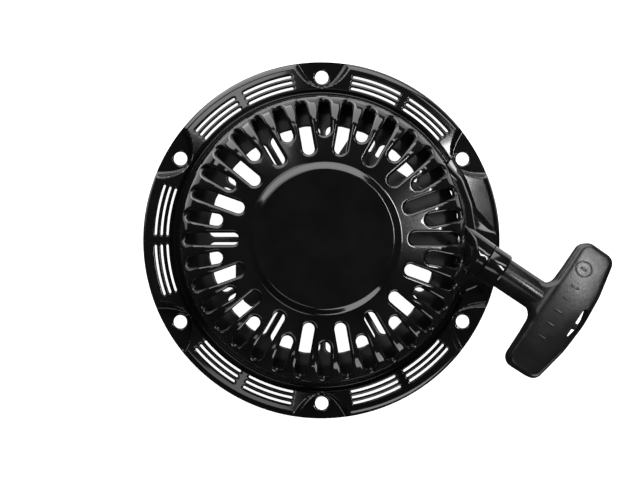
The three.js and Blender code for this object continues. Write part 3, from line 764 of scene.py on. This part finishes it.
def outlet_bulge():
    """The pressed bulge beside the bowl: a filleted foot on the flange, a sloping wall, a soft top edge."""
    count = 160
    foot, top = (even_line(rounded(line, 0.4), 0.25) for line in (BULGE_FOOT, BULGE_TOP))
    foot, top = (line[np.linspace(0, len(line) - 1, count).round().astype(int)] for line in (foot, top))
    columns = []
    for (fx, fy), (tx, ty) in zip(foot, top):
        radius = math.hypot(fx, fy)
        base = float(profile.at(profile.u_at(max(radius, WALL_FOOT_R)))[1])
        low, high = np.array([fx, fy, base]), np.array([tx, ty, BULGE_H])
        rise = (high - low) / np.linalg.norm(high - low)
        level = (high - low) * (1, 1, 0)
        level /= np.linalg.norm(level)
        inward = np.array([-tx, -ty, 0.0]) / math.hypot(tx, ty)
        start = low - level * 1.3
        start[2] = float(profile.at(profile.u_at(max(math.hypot(*start[:2]), WALL_FOOT_R)))[1])
        column = list(bend(start, low, low + rise * 1.5, 5))
        column += [low + (high - low) * share for share in (0.2, 0.4, 0.6, 0.75)]
        column += list(bend(high - rise * 5, high, high + inward * 5 + UP * 0.6, 8))
        column += [high + inward * 10 + UP * 1.2, high + inward * 16 + UP * 1.8]
        columns.append(column)
    verts = np.transpose(np.array(columns), (1, 0, 2)).reshape(-1, 3)
    return outside_bowl((verts, grid_faces(len(columns[0]), count, closed=False)), 0.9)


def outside_bowl(part, depth):
    """A part without the faces that lie deeper than depth inside the bowl."""
    verts, faces = part
    verts = np.asarray(verts)
    radius = np.hypot(verts[:, 0], verts[:, 1])
    surface = np.stack([profile.r[::10], profile.z[::10]], -1)
    normal = np.stack([profile.nr[::10], profile.nz[::10]], -1)
    place = np.stack([radius, verts[:, 2]], -1)
    gap = place[:, None, :] - surface[None, :, :]
    nearest = np.argmin((gap**2).sum(-1), axis=1)
    rows = np.arange(len(verts))
    inside = (gap[rows, nearest] * normal[nearest]).sum(-1) > depth
    return verts, [face for face in faces if not all(inside[i] for i in face)]


def outlet_spout():
    """The drawn tube that rises from the bowl's shoulder, outside the slots, to the boss."""
    end = BOSS_START - 0.3
    corners = [(12.6, 62.0, 0), (12.6, 80.0, 9), (12.2, 88.0, 9), (12.2, end, 0.5), (9.4, end, 0)]
    verts, faces = along_run(lathe(even_line(rounded(corners, 0.3), 0.7), 96))
    beyond = np.hypot(verts[:, 0], verts[:, 1]) - SHOULDER_R
    roof = SHOULDER_Z + np.where(beyond > 0, beyond * SPOUT_RISE, -SPOUT_SUNK)
    verts[:, 2] = soft_min(verts[:, 2], roof, 1.6)
    return outside_bowl((verts, faces), 0.9)


def build_outlet(paint, nylon):
    parts = [outlet_bulge(), outlet_spout()]
    mesh_piece("outlet_pressing", parts, paint, "housing", ["housing"], thick=0.9)
    boss = [
        (6.0, BOSS_START - 9, 0.4), (9.0, BOSS_START - 9, 0.5), (9.0, BOSS_START, 0.3),
        (12.0, BOSS_START, 0.6), (12.0, BOSS_END, 1.5), (10.7, BOSS_END, 0.3),
        (10.7, BOSS_END - 2.4, 0.2), (6.0, BOSS_END - 2.4, 0.4),
    ]
    parts = [along_run(closed_lathe(boss, 128))]
    mesh_piece("outlet_boss", parts, paint, "housing", ["rope_outlet"])
    bush = [
        (3.3, BOSS_START - 8, 2), (4.2, BOSS_START - 12.6, 1.6), (6.6, BOSS_START - 13.3, 0.8),
        (6.6, BOSS_START - 9.3, 0.3), (5.7, BOSS_START - 9.3, 0.3), (5.7, BOSS_END - 3, 0.6),
        (3.3, BOSS_END - 3, 0.9),
    ]
    parts = [along_run(closed_lathe(bush, 96))]
    mesh_piece("outlet_bush_moulded", parts, nylon, "housing", ["outlet_bush"])


# ---- Inner guard ----
GUARD_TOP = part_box("inner_guard")[1].z / MM
GUARD_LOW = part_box("inner_guard")[0].z / MM
GUARD_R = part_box("inner_guard")[1].x / MM
GUARD_OPEN_R = 47.5
GUARD_SHEET = 1.2
RIB_HALF = 1.9
WINDOW_IN_R = 52.0
WINDOW_OUT_R = 72.0


def window_outline():
    """One window of the guard between the ribs at 0 and 30 degrees, turned to 12 o'clock."""
    sine, cosine = math.sin(math.pi / 12), math.cos(math.pi / 12)

    def beside_rib(r):
        return r * sine - RIB_HALF * cosine, r * cosine + RIB_HALF * sine * 0.5

    (ax, ay), (bx, by) = beside_rib(WINDOW_IN_R), beside_rib(WINDOW_OUT_R)
    half = [(0, WINDOW_IN_R + 0.6, 0), (ax, ay, 2.2), (bx, by, 3.4), (bx * 0.45, WINDOW_OUT_R + 0.4, 12)]
    return rounded([*half, *((-x, y, radius) for x, y, radius in half[::-1])], 0.8)[:-1]


def run_place(offset, along):
    return tuple((SIDE * offset + DRAW * along)[:2])


RUN_LAND = [run_place(*p) for p in ((21, 0), (21, 90), (63, 90), (63, -22), (40, -22))]
BACK_LAND = [(-40, -8), (-55.5, -12), (-55.5, -30), (-50, -39.5), (-45.5, -43), (-34, -38)]


def guard_holes(r, degrees):
    """Distance to the guard's windows, below zero inside, less the solid lands."""
    local = np.mod(degrees, 30) - 15
    x, y = clock_place(r, local)
    gap = polygon_distance(x, y, window_outline())
    x, y = clock_place(r, degrees)
    for land in (RUN_LAND, BACK_LAND):
        gap = np.maximum(gap, -polygon_distance(x, y, land))
    return gap


GUARD_LINE = rounded(
    [
        (GUARD_R - 0.1, GUARD_LOW + 1.6, 0),
        (80.4, GUARD_TOP, 5),
        (GUARD_OPEN_R, GUARD_TOP, 2.2),
        (GUARD_OPEN_R + 0.2, 21.2, 0),
    ],
    0.3,
)


def guard_surface(r, degrees, depth):
    outer = GUARD_LINE[: np.argmin(GUARD_LINE[:, 0] > GUARD_OPEN_R + 2.3)]
    z = np.interp(r, outer[::-1, 0], outer[::-1, 1])
    x, y = clock_place(r, degrees)
    return np.stack([x, y, z - depth], -1)


def build_guard(paint):
    radii = list(spaced(GUARD_R - 0.1, GUARD_OPEN_R + 2.4, 0.6))
    degrees = np.arange(720) / 2
    web = perforated_ring(radii, degrees, guard_holes, guard_surface, 1.3)
    start = int(np.argmin(GUARD_LINE[:, 0] > GUARD_OPEN_R + 2.4))
    lip = GUARD_LINE[start - 1 :].copy()
    lip[0] = (GUARD_OPEN_R + 2.4, GUARD_TOP)
    x, y = clock_place(lip[:, 0][:, None], degrees[None, :])
    verts = np.stack([x, y, lip[:, 1][:, None] + 0 * x], -1).reshape(-1, 3)
    parts = [web, (verts, grid_faces(len(lip), len(degrees)))]
    mesh_piece("guard_pressing", parts, paint, "housing", ["inner_guard"], thick=GUARD_SHEET)


# ---- Swept parts ----
def tube(path, radius, sides=16):
    """A round section along an open path, with flat ends."""
    path = np.asarray(path, float)
    tangent = np.gradient(path, axis=0)
    tangent /= np.linalg.norm(tangent, axis=1)[:, None]
    across = np.cross(tangent[0], (0.31, 0.17, 0.93))
    turn = np.arange(sides) * 2 * math.pi / sides
    verts = []
    for point, ahead in zip(path, tangent):
        across = across - ahead * (across @ ahead)
        across /= np.linalg.norm(across)
        up = np.cross(ahead, across)
        verts.append(point + radius * (np.cos(turn)[:, None] * across + np.sin(turn)[:, None] * up))
    faces = grid_faces(len(path), sides)
    last = (len(path) - 1) * sides
    faces += [list(range(sides)), list(range(last, last + sides))]
    return np.concatenate(verts), faces


def capped(loops):
    """A closed skin through a stack of matching loops, with flat ends."""
    count = len(loops[0])
    last = (len(loops) - 1) * count
    faces = grid_faces(len(loops), count) + [list(range(count)), list(range(last, last + count))]
    return np.concatenate(loops), faces


def run_point(s):
    """The point of the rope's line at a distance s from beside the reel axis."""
    return SIDE * ROPE_OFFSET + DRAW * s + UP * ROPE_Z


# ---- Rope ----
KNOT_R = 4.0
KNOT_AT = -0.8
DRUM_R = 28.5
REEL_R = 51.0
WOUND_TURNS = 6  # in three layers of two
WOUND_R = 31.1
LAYER_STEP = 4.5
TURN_HALF = 2.2  # half the step between the two turns of a layer
WOUND_ROPE_R = 2.22
REEL_KNOT_R = 20.8  # the inner knot's distance from the reel axis


def trefoil(centre, size, thickness, axes):
    """A small tight knot: a round cord on a trefoil path."""
    t = np.linspace(0, 2 * math.pi, 97)
    path = np.stack([np.sin(t) + 2 * np.sin(2 * t), np.cos(t) - 2 * np.cos(2 * t), -np.sin(3 * t)], -1)
    return tube(path * size @ np.asarray(axes) + centre, thickness, 12)


def build_rope(rope):
    start = math.atan2(SIDE[1], SIDE[0])
    turn = np.linspace(start + math.pi * 0.9, start, 90)[:-1]
    arc = np.stack([ROPE_OFFSET * np.cos(turn), ROPE_OFFSET * np.sin(turn), ROPE_Z + 0 * turn], -1)
    end = GRIP_CENTRE + KNOT_AT - KNOT_R + 1.2
    straight = np.array([run_point(s) for s in spaced(0, end, 1.5)])
    parts = [tube(np.concatenate([arc, straight]), ROPE_R - 0.02, 18)]
    piece = mesh_piece("rope", parts, rope, None, ["rope_run"])
    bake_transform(piece)

    path = []
    for turn in range(WOUND_TURNS):
        layer, place = divmod(turn, 2)
        side = 1 if layer % 2 else -1
        r, z = WOUND_R + LAYER_STEP * layer, ROPE_Z + TURN_HALF * side * (1 - 2 * place)
        last_r, last_z = path[-1][:2] if path else (r, z)
        for step in range(90):
            share = float(smoothstep(step / 12, 0, 1))
            here = (last_r + (r - last_r) * share, last_z + (z - last_z) * share)
            path.append((*here, (turn + step / 90) * 2 * math.pi))
    r, z, angle = np.array(path).T
    coil = np.stack([r * np.cos(angle), r * np.sin(angle), z], -1)
    mesh_piece("rope_turns", [tube(coil, WOUND_ROPE_R, 14)], rope, "reel", ["rope_winding"])

    out = np.array([math.cos(math.pi / 3), math.sin(math.pi / 3), 0])
    side = np.array([-out[1], out[0], 0])
    inner = out * REEL_KNOT_R + UP * (ROPE_Z - 1.5)
    tail = tube([inner + out * s for s in spaced(0.5, DRUM_R - REEL_KNOT_R - 0.1, 1.2)], 2.0, 14)
    knot = trefoil(inner, 0.5, 1.55, [side, UP, out])
    mesh_piece("rope_inner_knot", [knot, tail], rope, "reel", ["reel_knot"])
    knot = trefoil(run_point(GRIP_CENTRE + KNOT_AT), 0.68, 1.7, [SIDE, UP, DRAW])
    mesh_piece("rope_end_knot", [knot], rope, "grip", ["grip_knot"])


# ---- Grip ----
GRIP_HALF = 46.2
GRIP_THICK = 12.0  # half the bar's thickness
GRIP_CROWN = 0.35  # room under the CAD's top for the raised marks
END_DROP = 2.6  # how much lower the bar's faces are at its ends
STEM_DROP = 3.6  # and where it runs into the stem
STEM_R = 10.1
GRIP_EDGE = 3.2
GRIP_MARKS = [(-1.5, v) for v in (17.0, 8.0, -1.5, -11.0, -20.5)]


def at_grip(points):
    """Points with x along the draw, y across it and z up from the bar's middle, laid in place."""
    points = np.asarray(points, float)
    rows = points[:, :1] * DRAW + points[:, 1:2] * SIDE + points[:, 2:3] * UP
    return rows + run_point(GRIP_CENTRE)


def grip_outline():
    """The bar in plan, from the stem round by +y, as evenly spaced points."""
    inner, outer = -12.6, 10.6
    half = [
        (inner - 10.8, 0, 0),
        (inner - 10.8, STEM_R - 1.6, 1),
        (inner - 0.6, STEM_R + 0.6, 7.5),
        (inner, 24, 30),
        (inner, GRIP_HALF, 7.0),
        (outer + 0.2, GRIP_HALF - 0.5, 6.5),
        (outer + 5.0, 20, 60),
    ]
    corners = [*half, (outer + 6.35, 0, 60), *((x, -y, radius) for x, y, radius in half[::-1])]
    return even_line(rounded(corners, 0.4), 0.55)[:-1]


def grip_half_height(x, y):
    """Half the bar's thickness: crowned both ways, and lower where it runs into the stem."""
    across = np.where(x > 1, 0.5, 0.25) * ((x - 1) / 14) ** 2
    crown = END_DROP * (y / GRIP_HALF) ** 2 + across
    return GRIP_THICK - GRIP_CROWN - np.minimum(crown, 3.4) - STEM_DROP * smoothstep(-x, 10.5, 21)


def on_bar(loop, up):
    """A plan outline laid on the bar's top face, raised by up."""
    return np.column_stack([loop, grip_half_height(loop[:, 0], loop[:, 1]) + up])


def closed_normals(line):
    along = np.roll(line, -1, axis=0) - np.roll(line, 1, axis=0)
    along /= np.linalg.norm(along, axis=1)[:, None]
    return np.stack([-along[:, 1], along[:, 0]], -1)


def grip_face(loop, sign):
    """The crowned face inside a loop, as triangles through a grid of points."""
    step = 2.0
    xs, ys = np.meshgrid(np.arange(-24, 18, step), np.arange(-46, 46.1, step))
    inside = polygon_distance(xs, ys, loop) < -0.9
    points = np.concatenate([loop, np.stack([xs[inside], ys[inside]], -1)])
    count = len(loop)
    ring = [(i, (i + 1) % count) for i in range(count)]
    made = delaunay_2d_cdt([Vector(p) for p in points], ring, [], 1, 1e-5)
    flat = np.array([tuple(v) for v in made[0]])
    height = grip_half_height(flat[:, 0], flat[:, 1]) * sign
    return np.column_stack([flat, height]), [list(face) for face in made[2]]


def grip_bar():
    line = grip_outline()
    inward = closed_normals(line)
    if polygon_distance(*(line[40:41] + inward[40:41] * 0.5).T, line)[0] > 0:
        inward = -inward
    loops = []
    angles = np.radians([0, 9, 18, 27, 36, 45, 54, 63, 72, 81, 90])
    for sign, order in ((-1, angles[::-1]), (1, angles)):
        for angle in order:
            loop = line + inward * GRIP_EDGE * (1 - math.cos(angle))
            height = grip_half_height(loop[:, 0], loop[:, 1]) - GRIP_EDGE * (1 - math.sin(angle))
            loops.append(np.column_stack([loop, height * sign]))
    wall = np.concatenate(loops), grid_faces(len(loops), len(line))
    parts = [wall, grip_face(loops[0][:, :2], -1), grip_face(loops[-1][:, :2], 1)]
    return [(at_grip(verts), faces) for verts, faces in parts]


def raised_mark(outline, lift):
    """A low rounded pad on the bar's top face."""
    outline = np.asarray(outline, float)
    centre = outline.mean(0)
    loops = []
    for shrink, up in ((1.0, -0.4), (1.0, lift * 0.55), (0.93, lift * 0.88), (0.84, lift)):
        loops.append(on_bar(centre + (outline - centre) * shrink, up))
    verts, faces = capped(loops)
    return at_grip(verts), faces


def capsule(x, y, length, width):
    """Plan outline of a bar with round ends."""
    turn = np.linspace(-math.pi / 2, math.pi / 2, 9)
    end = np.stack([np.cos(turn) * width / 2 + length / 2 - width / 2, np.sin(turn) * width / 2], -1)
    return np.concatenate([end, -end]) + (x, y)


def raised_ring(x, y, rx, ry, width):
    """A raised oval ring on the bar's top face."""
    sides = 48
    turn = np.arange(sides) * 2 * math.pi / sides
    loops = []
    for share, up in ((1, -0.4), (1, 0.16), (0.6, 0.28), (0, 0.3), (-0.6, 0.28), (-1, 0.16), (-1, -0.4)):
        grow = width * share
        loop = np.stack([x + (rx + grow) * np.cos(turn), y + (ry + grow) * np.sin(turn)], -1)
        loops.append(on_bar(loop, up))
    return at_grip(np.concatenate(loops)), grid_faces(len(loops), sides)


def cut_away(piece, outline, low, high, lean=0.0):
    """Cuts a prism on an outline in the bar's own axes out of a piece.

    lean moves the prism's outer side outwards at the bottom.
    """
    outline = np.asarray(outline, float)
    loops = [np.column_stack([outline, np.full(len(outline), z)]) for z in (low, high)]
    loops[0][:, 0] += lean * (outline[:, 0] > outline[:, 0].mean())
    verts, faces = capped(loops)
    mesh = bpy.data.meshes.new("cutter")
    mesh.from_pydata((at_grip(verts) * MM).tolist(), [], faces)
    work = bmesh.new()
    work.from_mesh(mesh)
    bmesh.ops.recalc_face_normals(work, faces=work.faces)
    work.to_mesh(mesh)
    work.free()
    cutter = linked("cutter", mesh)
    cut = piece.modifiers.new("cut", "BOOLEAN")
    cut.object = cutter
    cut.solver = "EXACT"
    apply_modifiers(piece)
    bpy.data.objects.remove(cutter)


def build_grip(plastic, nylon):
    bar = mesh_piece("grip_bar", grip_bar(), plastic, "grip", ["grip"])
    slot = [(11.1, 0, 0), (11.1, -11.3, 0.8), (13.2, -11.3, 0.8), (14.5, -5, 8)]
    slot += [(14.5, 3, 8), (13.2, 9.3, 0.8), (11.1, 9.3, 0.8), (11.1, 0, 0)]
    cut_away(bar, rounded(slot, 0.3)[:-1], -20, 20, 2.4)
    nest = [(11.8, 0, 0), (11.8, -5.2, 0.1), (-5.2, -5.2, 1.2)]
    nest += [(-5.2, 5.2, 1.2), (11.8, 5.2, 0.1), (11.8, 0, 0)]
    cut_away(bar, rounded(nest, 0.3)[:-1], -20, 6)
    finish_mesh(bar, plastic, math.radians(30))
    stem = [
        (3.2, BOSS_END - 2, 0.6), (STEM_R, BOSS_END - 2, 1.0), (STEM_R, GRIP_CENTRE - 12, 2.0),
        (3.2, GRIP_CENTRE - 12, 0.6),
    ]
    parts = [along_run(closed_lathe(stem, 96))]
    mesh_piece("grip_stem", parts, plastic, "grip", ["grip"])
    marks = [raised_mark(capsule(x, y, 6.0, 1.5), 0.3) for x, y in GRIP_MARKS]
    marks.append(raised_ring(-3.0, 29.5, 5.2, 4.6, 0.55))
    marks.append(raised_mark(capsule(-3.0, 29.5, 4.6, 1.7), 0.3))
    mesh_piece("grip_marks", marks, plastic, "grip", ["grip"])


# ---- Parts that keep the CAD's outline ----
def refined(node, material, body, width):
    """Carries over the CAD node's own shape, with its flat faces merged and its edges rounded by width."""
    piece = linked(node + "_finished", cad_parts[node].data.copy())
    work = bmesh.new()
    work.from_mesh(piece.data)
    bmesh.ops.remove_doubles(work, verts=work.verts, dist=1e-6)
    bmesh.ops.dissolve_limit(work, angle_limit=math.radians(1), verts=work.verts, edges=work.edges)
    work.to_mesh(piece.data)
    work.free()
    bevel = piece.modifiers.new("edges", "BEVEL")
    bevel.width = width * MM
    bevel.segments = 3
    bevel.limit_method = "ANGLE"
    bevel.angle_limit = math.radians(40)
    apply_modifiers(piece)
    finish_mesh(piece, material, math.radians(50))
    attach(piece, body)
    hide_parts(node)


# ---- Reel, spring and ratchets ----
POST_R = 7.0
SCREW_R = 2.9
REEL_LOW = 30.6
GROOVE_HALF = 5.2
CAVITY_R = 26.0
SPRING_TURNS = 6
RATCHET_R = 29.0  # the ratchet pins' distance from the reel axis
DRAG_Z = 18.15  # height of the friction spring


def build_reel(nylon, zinc, steel):
    low, high = ROPE_Z - GROOVE_HALF, ROPE_Z + GROOVE_HALF
    top = high + 2.2
    section = [
        (POST_R + 0.35, 21.6, 0.4), (12.0, 21.6, 0.6), (12.8, high - 2.2, 1.2),
        (CAVITY_R - 0.6, high - 2.2, 1.2), (CAVITY_R - 0.6, REEL_LOW, 0.6), (REEL_R, REEL_LOW, 0.8),
        (REEL_R, low, 0.6), (DRUM_R, low + 0.3, 1.0), (DRUM_R, high - 0.3, 1.0),
        (REEL_R, high, 0.6), (REEL_R, top, 0.8), (DRUM_R + 0.6, top, 0.8), (DRUM_R, 57.0, 0.6),
        (CAVITY_R, 57.0, 0.4), (CAVITY_R, high, 0.8), (POST_R + 0.35, high, 0.4),
    ]
    parts = [closed_lathe(section, 128)]
    for i in range(6):
        angle = math.radians(30 + i * 60)
        out = np.array([math.cos(angle), math.sin(angle), 0])
        side = np.array([-out[1], out[0], 0])
        loops = []
        steps = ((REEL_LOW + 1, 0.5), (REEL_LOW + 1.2, 0.8), (REEL_LOW + 1.6, 1.0), (high - 1.6, 1.1))
        for z, half in steps:
            corners = [(11.6, -half), (CAVITY_R - 0.2, -half), (CAVITY_R - 0.2, half), (11.6, half)]
            loops.append(np.array([out * a + side * b + UP * z for a, b in corners]))
        parts.append(capped(loops))
    mesh_piece("reel_moulding", parts, nylon, "reel", ["reel"])

    post = [
        (SCREW_R + 0.25, 22.2, 0.3), (POST_R, 22.2, 0.8), (POST_R, 57.4, 1.0), (17.0, 58.4, 0.6),
        (17.0, 60.1, 0.4), (SCREW_R + 0.25, 60.1, 0.2),
    ]
    mesh_piece("post_turned", [closed_lathe(post, 96)], zinc, "housing", ["reel_post"])

    turns = np.linspace(0, SPRING_TURNS, SPRING_TURNS * 72 + 1)
    r = POST_R + 1.6 + (CAVITY_R - 1.4 - POST_R - 1.6) * turns / SPRING_TURNS
    angle = turns * 2 * math.pi
    loops = []
    right = [(0.3, 44.2), (0.35, 44.35), (0.35, 56.05), (0.3, 56.2)]  # half the strip's section: offset, z
    left = [(-off, z) for off, z in right[::-1]]
    for off, z in [left[-1], *right, *left[:-1]]:
        x, y = (r + off) * np.cos(angle), (r + off) * np.sin(angle)
        loops.append(np.stack([x, y, np.full(len(r), z)], -1))
    stack = np.stack(loops, 1).reshape(-1, 3)
    faces = grid_faces(len(r), 8)
    faces += [list(range(8)), list(range((len(r) - 1) * 8, len(r) * 8))]
    mesh_piece("mainspring_strip", [(stack, faces)], steel, "housing", ["mainspring"])


def build_ratchets(zinc, steel):
    for number, flip in ((1, 1), (2, -1)):
        refined(f"ratchet_{number}", zinc, f"ratchet_{number}", 0.45)
        at = np.array([RATCHET_R * flip, 0, 0])
        pin = [(0, 21.8, 0), (3.9, 21.8, 0.7), (3.9, 30.3, 0.2), (2.0, 30.3, 0.1)]
        pin += [(2.0, 32.0, 0.2), (0, 32.0, 0)]
        verts, faces = closed_lathe(pin, 48)
        node = f"ratchet_pin_{number}"
        mesh_piece(f"pin_{number}", [(verts + at, faces)], zinc, "reel", [node])
        turn = np.linspace(0, 5 * math.pi, 110)
        coil = np.stack([5.2 * np.cos(turn), 5.2 * np.sin(turn), 27.95 + 2.2 * np.linspace(0, 1, 110)], -1)
        leg = [coil[-1] + np.array([-3, 4, 0]) * share for share in (0.25, 0.5, 0.75, 1)]
        path = np.concatenate([coil, leg]) * (flip, flip, 1) + at
        node = f"ratchet_spring_{number}"
        mesh_piece(f"pawl_spring_{number}", [tube(path, 0.36, 8)], steel, "reel", [node])
    refined("ratchet_guide", zinc, "ratchet_guide", 0.25)
    turn = np.radians(np.linspace(25, 335, 80))
    hoop = [(10.6 * math.cos(t), 10.6 * math.sin(t)) for t in turn]
    line = [(13.9, 2.3), (12.0, 2.9), *hoop, (12.0, -2.9), (13.9, -2.3)]
    parts = [tube([(x, y, DRAG_Z) for x, y in line], 0.76, 10)]
    mesh_piece("friction_spring_wire", parts, steel, "ratchet_guide", ["friction_spring"])
    washer = [(3.2, 17.2, 0.2), (9.3, 17.2, 0.4), (9.3, 19.1, 0.4), (3.2, 19.1, 0.2)]
    mesh_piece("washer_turned", [closed_lathe(washer, 96)], zinc, "housing", ["thrust_washer"])
    refined("centre_screw", zinc, "housing", 0.35)


add_camera()
add_stage()
add_lights()
paint = gloss_paint()
grip_tones = (0.006, 0.006, 0.0065), (0.011, 0.011, 0.0115)
nylon_tones = (0.012, 0.012, 0.013), (0.022, 0.022, 0.023)
plastic = moulded_plastic("grip_moulded_plastic", *grip_tones, 0.24, 900.0)
nylon = moulded_plastic("filled_nylon", *nylon_tones, 0.42, 1300.0)
zinc = zinc_plate()
steel = spring_steel()
rope = braided_rope()
build_housing(paint)
build_outlet(paint, nylon)
build_guard(satin_paint())
build_rope(rope)
build_grip(plastic, nylon)
refined("grip_retainer", nylon, "grip", 0.4)
build_reel(nylon, zinc, steel)
build_ratchets(zinc, steel)
